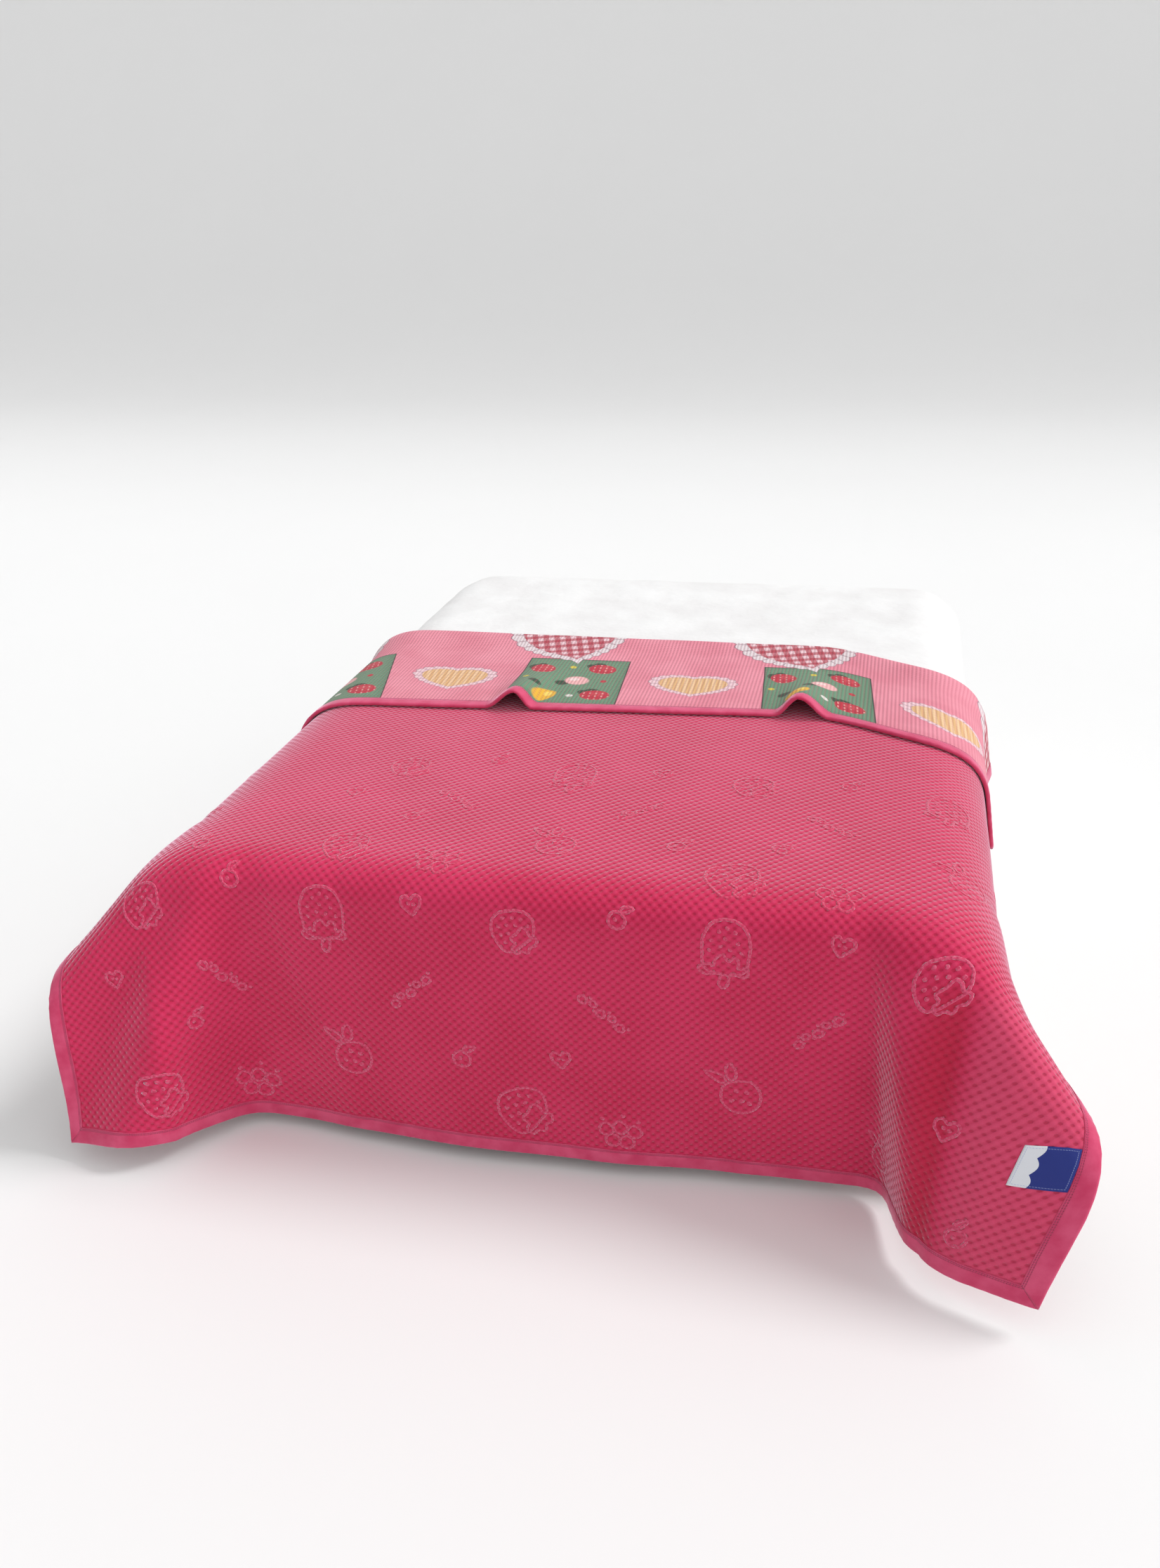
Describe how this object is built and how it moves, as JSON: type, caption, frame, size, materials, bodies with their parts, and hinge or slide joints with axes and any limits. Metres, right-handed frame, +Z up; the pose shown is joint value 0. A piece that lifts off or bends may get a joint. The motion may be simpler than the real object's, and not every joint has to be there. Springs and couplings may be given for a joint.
{
  "type": "reversible bedspread on a mattress",
  "caption": "Reversible quilted bedspread draped over a plain mattress and base, its head end folded back to show the printed side, with flared foot corners and bound hems.",
  "frame": {"origin": "on the floor under the middle of the bounding box", "axes": "+Z up, +X to the right of someone standing at the foot and facing the bed, +Y from the foot to the head"},
  "size_m": [1.9028, 2.2598, 0.6531],
  "materials": {
    "cloth": "waffled plush face, printed ribbed back",
    "binding": "soft sateen",
    "label": "woven, blank",
    "mattress_cotton": "matt cotton",
    "base_cloth": "matt woven"
  },
  "bodies": {
    "root": {"bedspread_panel": "cloth", "binding_foot": "binding", "binding_head": "binding", "binding_left": "binding", "binding_right": "binding", "sewn_label": "label", "mattress": "mattress_cotton", "bed_base": "base_cloth"}
  },
  "joints": []
}
